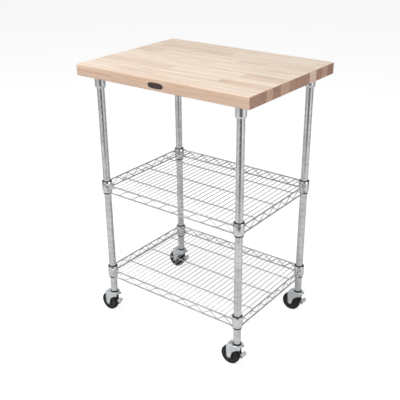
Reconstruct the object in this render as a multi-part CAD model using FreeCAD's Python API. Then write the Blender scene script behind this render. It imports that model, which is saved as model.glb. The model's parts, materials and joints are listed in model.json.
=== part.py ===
import FreeCAD, Part
import math
import os

# Kitchen island cart: butcher-block worktop on four grooved posts, two wire shelves, four casters.
# Millimetres. Origin on the floor under the middle of the worktop, +X along the long side, +Z up.

# Worktop
TOP_LENGTH = 685.8
TOP_DEPTH = 510.0
TOP_THICKNESS = 38.1
TOP_CORNER_RADIUS = 6.0
TOP_EDGE_RADIUS = 3.0
CART_HEIGHT = 966.0

# Posts
POST_X = 283.4
POST_Y = 206.7
POST_RADIUS = 12.7
POST_WALL = 1.2
POST_BOTTOM = 92.0
GROOVE_PITCH = 25.4
GROOVE_DEPTH = 0.5
GROOVE_WIDTH = 1.8

# Leg sockets under the worktop
SOCKET_DROP = 43.0
SOCKET_RADIUS = 17.8
FLANGE_RADIUS = 36.0
FLANGE_THICKNESS = 3.0
FLANGE_SCREW_CIRCLE = 27.5
SCREW_RADIUS = 2.2
SCREW_LENGTH = 22.0
SCREW_HEAD_SPHERE = 4.6
SET_SCREW_RADIUS = 2.5
SET_SCREW_LENGTH = 3.6
SET_SCREW_HEIGHT = 20.0

# Wire shelves
SHELF_LEVELS = {"upper": 545.0, "lower": 199.0}
COLLAR_HEIGHT = 43.0
COLLAR_RADIUS = 18.4
COLLAR_BORE = 15.2
SLEEVE_TOP_LIP = 1.0
SLEEVE_BOTTOM_LIP = 4.8
RAIL_X = 296.0
RAIL_Y = 220.0
RAIL_TOP_DROP = 9.5
RAIL_HEIGHT = 27.0
RAIL_WIRE = 2.75
ZIGZAG_WIRE = 1.7
ZIGZAG_PITCH_LONG = 60.0
ZIGZAG_PITCH_SHORT = 54.5
ZIGZAG_BEND = 4.0
ZIGZAG_OUTWARD = 0.9
WELD_DEPTH = 0.5
DECK_WIRE = 1.3
DECK_PITCH = 19.6
DECK_SIDE_COUNT = 14
CROSS_WIRE = 2.1
CROSS_SPACING = 121.0
CROSS_BEND = 5.0
DECK_REACH = 219.2

# Casters
WHEEL_RADIUS = 35.0
WHEEL_WIDTH = 20.0
TRAIL = 24.4
AXLE_RADIUS = 4.0
STEM_RADIUS = 5.0
RUNNING_GAP = 0.05
FIT_GAP = 0.05
HEAD_TOP = 87.5
HEAD_BOTTOM = 83.0
HEAD_RADIUS = 20.5
CROWN_BOTTOM = 80.8
CROWN_LENGTH = 49.5
CROWN_BACK = 30.5
LEG_INNER = 12.4
LEG_THICKNESS = 2.6
LEG_END_RADIUS = 8.4
PEDAL_PIVOT = (12.5, 75.6)
PEDAL_PIN_RADIUS = 2.0
PEDAL_WIDTH = 12.0
PAD_WIDTH = 14.0
BARREL_RADIUS = 4.0
BARREL_WIDTH = 20.0
BOLT_HEAD_RADIUS = 6.2
BOLT_HEAD_HEIGHT = 2.4
NUT_RADIUS = 6.6
NUT_HEIGHT = 3.4

X_AXIS = FreeCAD.Vector(1, 0, 0)
Y_AXIS = FreeCAD.Vector(0, 1, 0)
Z_AXIS = FreeCAD.Vector(0, 0, 1)

UNDERSIDE = CART_HEIGHT - TOP_THICKNESS
CORNERS = {
    "front_left": (-POST_X, -POST_Y),
    "front_right": (POST_X, -POST_Y),
    "back_left": (-POST_X, POST_Y),
    "back_right": (POST_X, POST_Y),
}

os.makedirs("parts", exist_ok=True)


def save(shape, name):
    shape.exportStep("parts/" + name + ".step")


def vector(x, y, z):
    return FreeCAD.Vector(x, y, z)


def rod(radius, length, start, direction):
    return Part.makeCylinder(radius, length, start, direction)


def turned(profile):  # solid of revolution about Z from (radius, height) points
    points = [vector(r, 0, z) for r, z in profile]
    face = Part.Face(Part.makePolygon(points + [points[0]]))
    return face.revolve(vector(0, 0, 0), Z_AXIS, 360)


def wire_path(points, bend):  # polyline whose inner corners are rounded by an arc
    edges = []
    start = points[0]
    for before, corner, after in zip(points, points[1:], points[2:]):
        into = (corner - before).normalize()
        out = (after - corner).normalize()
        turn = into.getAngle(out)
        cut = bend * math.tan(turn / 2)
        first = corner - into * cut
        last = corner + out * cut
        inward = (out - into).normalize()
        centre = corner + inward * (bend / math.cos(turn / 2))
        middle = centre - inward * bend
        edges.append(Part.makeLine(start, first))
        edges.append(Part.Arc(first, middle, last).toShape())
        start = last
    edges.append(Part.makeLine(start, points[-1]))
    return Part.Wire(edges)


def bent_rod(points, radius, bend):
    path = wire_path(points, bend)
    direction = (points[1] - points[0]).normalize()
    circle = Part.Wire(Part.makeCircle(radius, points[0], direction))
    return path.makePipeShell([circle], True, True)


# Worktop with pilot holes for the socket screws
top = Part.makeBox(TOP_LENGTH, TOP_DEPTH, TOP_THICKNESS,
                   vector(-TOP_LENGTH / 2, -TOP_DEPTH / 2, UNDERSIDE))
upright = [e for e in top.Edges if abs(e.BoundBox.ZLength - TOP_THICKNESS) < 0.01]
top = top.makeFillet(TOP_CORNER_RADIUS, upright)
rims = [e for e in top.Edges if e.BoundBox.ZLength < 0.01]
top = top.makeFillet(TOP_EDGE_RADIUS, rims)

screw_spots = []
for x, y in CORNERS.values():
    for quarter in range(4):
        angle = math.radians(45 + 90 * quarter)
        screw_spots.append((x + FLANGE_SCREW_CIRCLE * math.cos(angle),
                            y + FLANGE_SCREW_CIRCLE * math.sin(angle)))
pilots = [rod(SCREW_RADIUS, SCREW_LENGTH - FLANGE_THICKNESS, vector(x, y, UNDERSIDE), Z_AXIS)
          for x, y in screw_spots]
top = top.cut(Part.makeCompound(pilots))
save(top, "butcher_block_top")

# Leg sockets: flange against the slab, tapered cup with a rolled lip
cup_bottom = UNDERSIDE - SOCKET_DROP
post_top = UNDERSIDE - 4.0
cup_profile = [
    (0, UNDERSIDE),
    (FLANGE_RADIUS, UNDERSIDE),
    (FLANGE_RADIUS, UNDERSIDE - FLANGE_THICKNESS),
    (SOCKET_RADIUS + 2.0, UNDERSIDE - FLANGE_THICKNESS),
    (SOCKET_RADIUS, UNDERSIDE - FLANGE_THICKNESS - 2.0),
    (SOCKET_RADIUS, cup_bottom + 7.0),
    (SOCKET_RADIUS - 0.6, cup_bottom + 3.5),
    (SOCKET_RADIUS - 1.5, cup_bottom + 1.0),
    (SOCKET_RADIUS - 2.4, cup_bottom),
    (POST_RADIUS + FIT_GAP, cup_bottom),
    (POST_RADIUS + FIT_GAP, post_top),
    (0, post_top),
]
cup = turned(cup_profile)
set_screw_z = cup_bottom + SET_SCREW_HEIGHT
set_screws = []
for name, (x, y) in CORNERS.items():
    socket = cup.copy()
    socket.translate(vector(x, y, 0))
    inward = -1 if x > 0 else 1
    hole_start = vector(x + inward * (SOCKET_RADIUS - 5.2), y, set_screw_z)
    hole = rod(SET_SCREW_RADIUS, 6.0, hole_start, X_AXIS * inward)
    holes = [rod(SCREW_RADIUS, FLANGE_THICKNESS, vector(sx, sy, UNDERSIDE - FLANGE_THICKNESS), Z_AXIS)
             for sx, sy in screw_spots if math.hypot(sx - x, sy - y) < FLANGE_RADIUS]
    save(socket.cut(Part.makeCompound(holes + [hole])), "socket_" + name)
    grub_start = vector(x + inward * (POST_RADIUS + FIT_GAP), y, set_screw_z)
    grub = rod(SET_SCREW_RADIUS, SET_SCREW_LENGTH, grub_start, X_AXIS * inward)
    key = rod(1.2, 1.6, vector(x + inward * (POST_RADIUS + FIT_GAP + 2.0), y, set_screw_z), X_AXIS * inward)
    set_screws.append(grub.cut(key))
save(Part.makeCompound(set_screws), "set_screws")

screws = []
for x, y in screw_spots:
    shaft = rod(SCREW_RADIUS, SCREW_LENGTH, vector(x, y, UNDERSIDE - FLANGE_THICKNESS), Z_AXIS)
    head = Part.makeSphere(SCREW_HEAD_SPHERE, vector(x, y, UNDERSIDE - FLANGE_THICKNESS + 1.8))
    trim = Part.makeBox(12, 12, 12, vector(x - 6, y - 6, UNDERSIDE - FLANGE_THICKNESS))
    screws.append(shaft.fuse(head.cut(trim)))
save(Part.makeCompound(screws), "socket_screws")

# Posts: tube with a ring groove every inch, stopping inside the socket
tube = turned([
    (POST_RADIUS - POST_WALL, POST_BOTTOM),
    (POST_RADIUS, POST_BOTTOM),
    (POST_RADIUS, post_top),
    (POST_RADIUS - POST_WALL, post_top),
])
grooves = []
groove_z = SHELF_LEVELS["lower"] - COLLAR_HEIGHT / 2
while groove_z - GROOVE_PITCH > POST_BOTTOM + 4:
    groove_z -= GROOVE_PITCH
while groove_z < cup_bottom - 2:
    grooves.append(turned([
        (POST_RADIUS - GROOVE_DEPTH, groove_z - GROOVE_WIDTH / 4),
        (POST_RADIUS + 1, groove_z - GROOVE_WIDTH / 2 - 0.9),
        (POST_RADIUS + 1, groove_z + GROOVE_WIDTH / 2 + 0.9),
        (POST_RADIUS - GROOVE_DEPTH, groove_z + GROOVE_WIDTH / 4),
    ]))
    groove_z += GROOVE_PITCH
tube = tube.cut(Part.makeCompound(grooves))
for name, (x, y) in CORNERS.items():
    post = tube.copy()
    post.translate(vector(x, y, 0))
    save(post, "post_" + name)

# Wire shelves
for level, shelf_z in SHELF_LEVELS.items():
    bottom = shelf_z - COLLAR_HEIGHT
    collar_shape = turned([
        (COLLAR_BORE, shelf_z),
        (COLLAR_RADIUS - 0.8, shelf_z),
        (COLLAR_RADIUS, shelf_z - 0.8),
        (COLLAR_RADIUS, shelf_z - 31.0),
        (COLLAR_RADIUS - 0.5, shelf_z - 35.0),
        (COLLAR_RADIUS - 1.6, shelf_z - 39.5),
        (COLLAR_RADIUS - 2.6, bottom),
        (COLLAR_BORE, bottom),
    ])
    outer = Part.makeCompound([rod(COLLAR_RADIUS, COLLAR_HEIGHT, vector(x, y, bottom), Z_AXIS)
                               for x, y in CORNERS.values()])
    sleeve_shape = turned([
        (POST_RADIUS + FIT_GAP, shelf_z + SLEEVE_TOP_LIP),
        (COLLAR_RADIUS - 1.6, shelf_z + SLEEVE_TOP_LIP),
        (COLLAR_RADIUS - 1.0, shelf_z + SLEEVE_TOP_LIP / 2),
        (COLLAR_RADIUS - 1.0, shelf_z),
        (COLLAR_BORE, shelf_z),
        (COLLAR_BORE, bottom),
        (COLLAR_BORE + 0.4, bottom),
        (COLLAR_BORE + 0.4, bottom - SLEEVE_BOTTOM_LIP + 0.5),
        (COLLAR_BORE - 0.1, bottom - SLEEVE_BOTTOM_LIP),
        (POST_RADIUS + FIT_GAP, bottom - SLEEVE_BOTTOM_LIP),
    ])
    split = Part.makeBox(60, 0.6, 80, vector(-30, -0.3, bottom - 20))
    split.rotate(vector(0, 0, 0), Z_AXIS, 45)
    halves = sleeve_shape.cut(split)
    collars = []
    sleeves = []
    for x, y in CORNERS.values():
        collar = collar_shape.copy()
        collar.translate(vector(x, y, 0))
        collars.append(collar)
        pair = halves.copy()
        pair.translate(vector(x, y, 0))
        sleeves.extend(pair.Solids)
    save(Part.makeCompound(collars), level + "_collars")
    save(Part.makeCompound(sleeves), level + "_sleeves")

    rail_z = shelf_z - RAIL_TOP_DROP
    low_z = rail_z - RAIL_HEIGHT
    weld_top = rail_z - RAIL_WIRE - ZIGZAG_WIRE + WELD_DEPTH
    weld_bottom = low_z + RAIL_WIRE + ZIGZAG_WIRE - WELD_DEPTH

    # Top wire, bottom wire and zigzag in one upright plane, running between two collars.
    # The zigzag's corners are drawn past the welds by what the bend takes off them.
    def rail(along_x, offset, reach, pitch, low_first):
        def place(s, t, z):
            return vector(s, t, z) if along_x else vector(t, s, z)
        axis = X_AXIS if along_x else Y_AXIS
        zigzag_offset = offset + math.copysign(ZIGZAG_OUTWARD, offset)
        lean = math.atan2(weld_top - weld_bottom, pitch / 2)
        overshoot = ZIGZAG_BEND * (1 / math.cos(lean) - 1)
        peak_z = weld_top + overshoot
        dip_z = weld_bottom - overshoot
        bars = [rod(RAIL_WIRE, 2 * reach, place(-reach, offset, z), axis) for z in (rail_z, low_z)]
        count = int(reach / (pitch / 2))
        points = []
        for step in range(-count, count + 1):
            low = (step % 2 == 0) == low_first
            points.append(place(step * pitch / 2, zigzag_offset, dip_z if low else peak_z))
        slope = (peak_z - dip_z) / (pitch / 2)
        rest = reach - count * pitch / 2
        end_low = (count % 2 == 0) == low_first
        end_z = dip_z + rest * slope if end_low else peak_z - rest * slope
        points = [place(-reach, zigzag_offset, end_z)] + points + [place(reach, zigzag_offset, end_z)]
        zigzag = bent_rod(points, ZIGZAG_WIRE, ZIGZAG_BEND)
        return bars[0].fuse([bars[1], zigzag]).cut(outer)

    save(rail(True, -RAIL_Y, POST_X, ZIGZAG_PITCH_LONG, False), level + "_front_rail")
    save(rail(True, RAIL_Y, POST_X, ZIGZAG_PITCH_LONG, False), level + "_back_rail")
    save(rail(False, -RAIL_X, POST_Y, ZIGZAG_PITCH_SHORT, True), level + "_left_rail")
    save(rail(False, RAIL_X, POST_Y, ZIGZAG_PITCH_SHORT, True), level + "_right_rail")

    deck_z = rail_z - 2.63 - DECK_WIRE
    deck = []
    for step in range(-DECK_SIDE_COUNT, DECK_SIDE_COUNT + 1):
        x = step * DECK_PITCH
        reach = DECK_REACH
        if abs(step) == DECK_SIDE_COUNT:
            reach = POST_Y - COLLAR_RADIUS + 1.5
        deck.append(rod(DECK_WIRE, 2 * reach, vector(x, -reach, deck_z), Y_AXIS))
    save(Part.makeCompound(deck).cut(outer), level + "_deck_wires")

    cross_z = deck_z - DECK_WIRE - CROSS_WIRE
    end_z = rail_z - RAIL_WIRE - CROSS_WIRE
    cross = []
    for step in (-1, 0, 1):
        y = step * CROSS_SPACING
        cross.append(bent_rod([
            vector(-RAIL_X - 0.5, y, end_z), vector(-RAIL_X + 5, y, end_z), vector(-RAIL_X + 12, y, cross_z),
            vector(RAIL_X - 12, y, cross_z), vector(RAIL_X - 5, y, end_z), vector(RAIL_X + 0.5, y, end_z),
        ], CROSS_WIRE, CROSS_BEND))
    save(Part.makeCompound(cross), level + "_cross_wires")

# Casters, built about the stem axis and then placed at each corner
leg_outline = [
    (-34.8, HEAD_BOTTOM - 5.5), (-30.5, HEAD_BOTTOM), (19.0, HEAD_BOTTOM), (20.6, HEAD_BOTTOM - 3.0),
    (20.6, 73.5), (7.2, 68.0), (-5.2, 60.0), (-12.8, 48.6), (-TRAIL + LEG_END_RADIUS, WHEEL_RADIUS),
]


def leg(side):
    points = [vector(x, 0, z) for x, z in leg_outline]
    end = vector(-TRAIL - LEG_END_RADIUS, 0, WHEEL_RADIUS)
    lowest = Part.Arc(points[-1], vector(-TRAIL, 0, WHEEL_RADIUS - LEG_END_RADIUS), end).toShape()
    edges = [Part.makeLine(a, b) for a, b in zip(points, points[1:])]
    edges.append(lowest)
    edges.append(Part.makeLine(end, points[0]))
    plate = Part.Face(Part.Wire(edges)).extrude(vector(0, LEG_THICKNESS, 0))
    plate.translate(vector(0, LEG_INNER if side > 0 else -LEG_INNER - LEG_THICKNESS, 0))
    return plate


def across(radius, length, x, z):
    """Cylinder along Y, centred on y = 0."""
    return rod(radius, length, vector(x, -length / 2, z), Y_AXIS)


outer_face = LEG_INNER + LEG_THICKNESS

insert = turned([
    (0, POST_BOTTOM + 26), (POST_RADIUS - POST_WALL - 1, POST_BOTTOM + 26),
    (POST_RADIUS - POST_WALL, POST_BOTTOM + 24), (POST_RADIUS - POST_WALL, POST_BOTTOM),
    (14.2, POST_BOTTOM), (14.8, POST_BOTTOM - 1.2), (14.2, HEAD_TOP + 0.3), (STEM_RADIUS, HEAD_TOP + 0.3),
    (STEM_RADIUS, CROWN_BOTTOM - 0.3), (8.0, CROWN_BOTTOM - 0.3), (8.0, CROWN_BOTTOM - 2.8),
    (0, CROWN_BOTTOM - 2.8),
])

head = turned([
    (STEM_RADIUS + RUNNING_GAP, HEAD_TOP), (HEAD_RADIUS - 1.6, HEAD_TOP), (HEAD_RADIUS - 0.4, HEAD_TOP - 0.6),
    (HEAD_RADIUS, HEAD_TOP - 1.8), (HEAD_RADIUS, HEAD_BOTTOM + 0.6), (HEAD_RADIUS - 0.6, HEAD_BOTTOM),
    (STEM_RADIUS + RUNNING_GAP, HEAD_BOTTOM),
])

crown = Part.makeBox(CROWN_LENGTH, 2 * outer_face, HEAD_BOTTOM - CROWN_BOTTOM,
                     vector(-CROWN_BACK, -outer_face, CROWN_BOTTOM))
fork = crown.fuse([leg(1), leg(-1)])
fork = fork.cut(rod(STEM_RADIUS + RUNNING_GAP, 20, vector(0, 0, CROWN_BOTTOM - 10), Z_AXIS))
fork = fork.cut(across(AXLE_RADIUS, 60, -TRAIL, WHEEL_RADIUS))
pivot_pin = across(PEDAL_PIN_RADIUS, 2 * outer_face, *PEDAL_PIVOT)
fork = fork.fuse(pivot_pin)

axle = across(AXLE_RADIUS, 2 * outer_face, -TRAIL, WHEEL_RADIUS)
bolt_head = rod(BOLT_HEAD_RADIUS, BOLT_HEAD_HEIGHT,
                vector(-TRAIL, -outer_face - BOLT_HEAD_HEIGHT, WHEEL_RADIUS), Y_AXIS)
outer_edge = [e for e in bolt_head.Edges if e.BoundBox.YMax < -outer_face - BOLT_HEAD_HEIGHT / 2]
bolt_head = bolt_head.makeFillet(BOLT_HEAD_HEIGHT / 2, outer_edge)
hexagon = [vector(-TRAIL + NUT_RADIUS * math.cos(math.radians(60 * k)), outer_face,
                  WHEEL_RADIUS + NUT_RADIUS * math.sin(math.radians(60 * k))) for k in range(7)]
nut = Part.Face(Part.makePolygon(hexagon)).extrude(vector(0, NUT_HEIGHT, 0))
axle = axle.fuse([bolt_head, nut])


def wheel_turned(profile):
    shape = turned(profile)
    shape.rotate(vector(0, 0, 0), X_AXIS, -90)
    shape.translate(vector(-TRAIL, 0, WHEEL_RADIUS))
    return shape


half = WHEEL_WIDTH / 2
tread = wheel_turned([
    (26.0, -half + 1.5), (29.0, -half), (31.5, -half), (33.6, -half + 1.2), (34.7, -half + 3.6),
    (WHEEL_RADIUS, -half + 7.0), (WHEEL_RADIUS, half - 7.0), (34.7, half - 3.6), (33.6, half - 1.2),
    (31.5, half), (29.0, half), (26.0, half - 1.5),
])
hub = wheel_turned([
    (AXLE_RADIUS + RUNNING_GAP, -11.8), (8.0, -11.8), (9.5, -8.0), (12.0, -5.0), (20.0, -4.2), (23.0, -7.5),
    (26.0, -half + 1.5), (26.0, half - 1.5), (23.0, 7.5), (20.0, 4.2), (12.0, 5.0), (9.5, 8.0), (8.0, 11.8),
    (AXLE_RADIUS + RUNNING_GAP, 11.8),
])

px, pz = PEDAL_PIVOT
lever_points = [
    (px - 3.4, pz - 2.1), (px - 3.0, pz + 1.8), (px, pz + 3.4), (px + 3.2, pz + 1.6), (px + 3.6, pz - 2.0),
    (px + 2.4, pz - 11.6), (px + 3.1, pz - 20.1), (px + 6.7, pz - 22.8), (px + 12.1, pz - 32.4),
    (px + 10.5, pz - 38.1), (px + 8.0, pz - 40.1), (px + 4.7, pz - 30.1), (px + 0.1, pz - 24.1),
    (px - 0.6, pz - 21.6), (px - 1.0, pz - 15.6),
]
pad_points = [(px + 6.7, pz - 22.8), (px + 12.3, pz - 13.4), (px + 14.4, pz - 12.4), (px + 20.0, pz - 13.2),
              (px + 22.0, pz - 15.0), (px + 22.4, pz - 18.6), (px + 20.7, pz - 25.1), (px + 12.1, pz - 32.4)]


def pressed(points, width):
    outline = [vector(x, -width / 2, z) for x, z in points]
    return Part.Face(Part.makePolygon(outline + [outline[0]])).extrude(vector(0, width, 0))


lever = pressed(lever_points, PEDAL_WIDTH).fuse(across(BARREL_RADIUS, BARREL_WIDTH, px, pz))
lever = lever.cut(across(PEDAL_PIN_RADIUS + RUNNING_GAP, 2 * BARREL_WIDTH, px, pz))
pad = pressed(pad_points, PAD_WIDTH)

caster_parts = {
    "insert": insert,
    "swivel_head": head,
    "fork": fork,
    "axle": axle,
    "tread": tread,
    "hub": hub,
    "brake_lever": lever,
    "brake_pad": pad,
}
for name, (x, y) in CORNERS.items():
    for piece, shape in caster_parts.items():
        placed = shape.copy()
        placed.translate(vector(x, y, 0))
        save(placed, "caster_" + name + "_" + piece)
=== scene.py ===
import json
import math

import bmesh
import bpy
from mathutils import Matrix, Vector


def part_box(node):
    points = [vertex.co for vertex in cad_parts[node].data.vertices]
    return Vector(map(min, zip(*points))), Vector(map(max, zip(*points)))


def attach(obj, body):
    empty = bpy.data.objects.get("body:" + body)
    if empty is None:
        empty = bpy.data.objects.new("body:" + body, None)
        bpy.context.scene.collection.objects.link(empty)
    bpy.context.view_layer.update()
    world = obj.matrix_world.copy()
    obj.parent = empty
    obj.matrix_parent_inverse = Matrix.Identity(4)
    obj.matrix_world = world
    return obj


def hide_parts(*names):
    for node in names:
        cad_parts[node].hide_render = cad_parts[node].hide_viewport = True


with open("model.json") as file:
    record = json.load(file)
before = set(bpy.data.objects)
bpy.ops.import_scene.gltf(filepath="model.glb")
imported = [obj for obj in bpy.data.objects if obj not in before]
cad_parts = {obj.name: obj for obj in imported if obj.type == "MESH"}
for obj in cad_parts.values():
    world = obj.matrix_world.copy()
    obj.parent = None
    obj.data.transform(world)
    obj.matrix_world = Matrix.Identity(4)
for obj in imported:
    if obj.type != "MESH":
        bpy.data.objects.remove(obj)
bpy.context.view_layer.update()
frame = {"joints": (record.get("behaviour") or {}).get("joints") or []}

mm = 0.001
scene = bpy.context.scene
corners = ("front_left", "front_right", "back_left", "back_right")
levels = ("upper", "lower")


def say(text):
    print("cart:", text)


def boxMiddle(node):
    low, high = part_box(node)
    return (low + high) / 2


def boxSize(node):
    low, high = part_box(node)
    return high - low


def inMillimetres(points):
    return [(a * mm, b * mm) for a, b in points]


# shader helpers

def addNode(tree, kind, place, settings=None, inputs=None):
    node = tree.nodes.new(kind)
    node.location = place
    for key, value in (settings or {}).items():
        setattr(node, key, value)
    for key, value in (inputs or {}).items():
        if isinstance(value, bpy.types.NodeSocket):
            tree.links.new(value, node.inputs[key])
        else:
            node.inputs[key].default_value = value
    return node


def doMath(tree, kind, place, first, second=0.0, third=0.0):
    inputs = {0: first, 1: second, 2: third}
    return addNode(tree, "ShaderNodeMath", place, {"operation": kind}, inputs).outputs[0]


def remap(tree, place, value, fromLow, fromHigh, toLow, toHigh):
    inputs = {"Value": value, "From Min": fromLow, "From Max": fromHigh, "To Min": toLow, "To Max": toHigh}
    return addNode(tree, "ShaderNodeMapRange", place, {"clamp": True}, inputs).outputs[0]


def stretchedNoise(tree, place, vector, stretch, detail, rough):  # noise drawn out along one or more axes
    spread = addNode(tree, "ShaderNodeMapping", place, None, {"Vector": vector, "Scale": stretch})
    inputs = {"Vector": spread.outputs[0], "Scale": 1.0, "Detail": detail, "Roughness": rough}
    noise = addNode(tree, "ShaderNodeTexNoise", (place[0] + 150, place[1]), None, inputs)
    return noise.outputs["Fac"]


def mixColour(tree, place, amount, first, second, blend="MIX"):
    node = addNode(tree, "ShaderNodeMix", place, {"data_type": "RGBA", "blend_type": blend})
    for key, value in ((0, amount), (6, first), (7, second)):
        if isinstance(value, bpy.types.NodeSocket):
            tree.links.new(value, node.inputs[key])
        elif key:
            node.inputs[key].default_value = (*value, 1.0)
        else:
            node.inputs[key].default_value = value
    return node.outputs[2]


def newGroup(name, inputs, outputs):
    group = bpy.data.node_groups.new(name, "ShaderNodeTree")
    for socketName, kind, value in inputs:
        socket = group.interface.new_socket(name=socketName, in_out="INPUT", socket_type=kind)
        if value is not None:
            socket.default_value = value
    for socketName, kind in outputs:
        group.interface.new_socket(name=socketName, in_out="OUTPUT", socket_type=kind)
    start = addNode(group, "NodeGroupInput", (-1400, 0))
    end = addNode(group, "NodeGroupOutput", (900, 0))
    return group, start, end


def placeGroup(tree, group, place, inputs):
    return addNode(tree, "ShaderNodeGroup", place, {"node_tree": group}, inputs)


def newMaterial(name):
    material = bpy.data.materials.new(name)
    material.use_nodes = True
    tree = material.node_tree
    shader = tree.nodes["Principled BSDF"]
    where = addNode(tree, "ShaderNodeTexCoord", (-1200, 0))
    return material, tree, shader, where


def addBump(tree, shader, height, strength, distance):
    bump = addNode(tree, "ShaderNodeBump", (-260, -320), None,
                   {"Strength": strength, "Distance": distance, "Height": height})
    tree.links.new(bump.outputs["Normal"], shader.inputs["Normal"])


# effects shared by several materials

def buildHandlingMarks():
    group, start, end = newGroup(
        "handlingMarks",
        (("Vector", "NodeSocketVector", None), ("Smudge Scale", "NodeSocketFloat", 14.0),
         ("Scratch Scale", "NodeSocketFloat", 700.0)),
        (("Smudge", "NodeSocketFloat"), ("Scratch", "NodeSocketFloat")))
    smudge = addNode(group, "ShaderNodeTexNoise", (-900, 200), None,
                     {"Vector": start.outputs["Vector"], "Scale": start.outputs["Smudge Scale"],
                      "Detail": 5.0, "Roughness": 0.62, "Distortion": 0.4})
    soft = remap(group, (-500, 200), smudge.outputs["Fac"], 0.36, 0.7, 0.0, 1.0)
    squash = addNode(group, "ShaderNodeMapping", (-1100, -200), None,
                     {"Vector": start.outputs["Vector"], "Scale": (1.0, 1.0, 0.045)})
    scratch = addNode(group, "ShaderNodeTexNoise", (-900, -200), None,
                      {"Vector": squash.outputs[0], "Scale": start.outputs["Scratch Scale"],
                       "Detail": 3.0, "Roughness": 0.55})
    fine = remap(group, (-500, -200), scratch.outputs["Fac"], 0.4, 0.66, 0.0, 1.0)
    group.links.new(soft, end.inputs["Smudge"])
    group.links.new(fine, end.inputs["Scratch"])
    return group


def buildMouldedSkin():
    group, start, end = newGroup(
        "mouldedSkin",
        (("Vector", "NodeSocketVector", None), ("Grain Scale", "NodeSocketFloat", 1400.0),
         ("Cloud Scale", "NodeSocketFloat", 45.0)),
        (("Grain", "NodeSocketFloat"), ("Cloud", "NodeSocketFloat")))
    grain = addNode(group, "ShaderNodeTexVoronoi", (-900, 150), {"feature": "SMOOTH_F1"},
                    {"Vector": start.outputs["Vector"], "Scale": start.outputs["Grain Scale"]})
    cloud = addNode(group, "ShaderNodeTexNoise", (-900, -200), None,
                    {"Vector": start.outputs["Vector"], "Scale": start.outputs["Cloud Scale"],
                     "Detail": 6.0, "Roughness": 0.6})
    group.links.new(grain.outputs["Distance"], end.inputs["Grain"])
    clouds = remap(group, (-500, -200), cloud.outputs["Fac"], 0.35, 0.68, 0.0, 1.0)
    group.links.new(clouds, end.inputs["Cloud"])
    return group


handlingMarks = buildHandlingMarks()
mouldedSkin = buildMouldedSkin()


# maple: strips run along X, each with its own growth rings, cut into boards by butt joints

mapleLook = {
    "stripWidth": 0.0425,
    "boardLength": 0.31,
    "pale": (0.915, 0.785, 0.655),
    "tan": (0.735, 0.545, 0.395),
    "latewood": (0.62, 0.43, 0.295),
    "mineral": (0.36, 0.22, 0.145),
    # the long-side tint warms the colour and also darkens it, which is painted shade
    "sideTintAndShade": (0.96, 0.83, 0.765),
    "endBright": (0.80, 0.63, 0.50),
    "endPale": (0.66, 0.435, 0.325),
    "endDark": (0.34, 0.18, 0.125),
    "gap": (0.36, 0.22, 0.15),
    "burn": (0.03, 0.021, 0.018),
    "roughness": (0.42, 0.58),
    "stampAt": (0.0, 0.945),
    "stampSize": (0.030, 0.0095),
}


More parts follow.
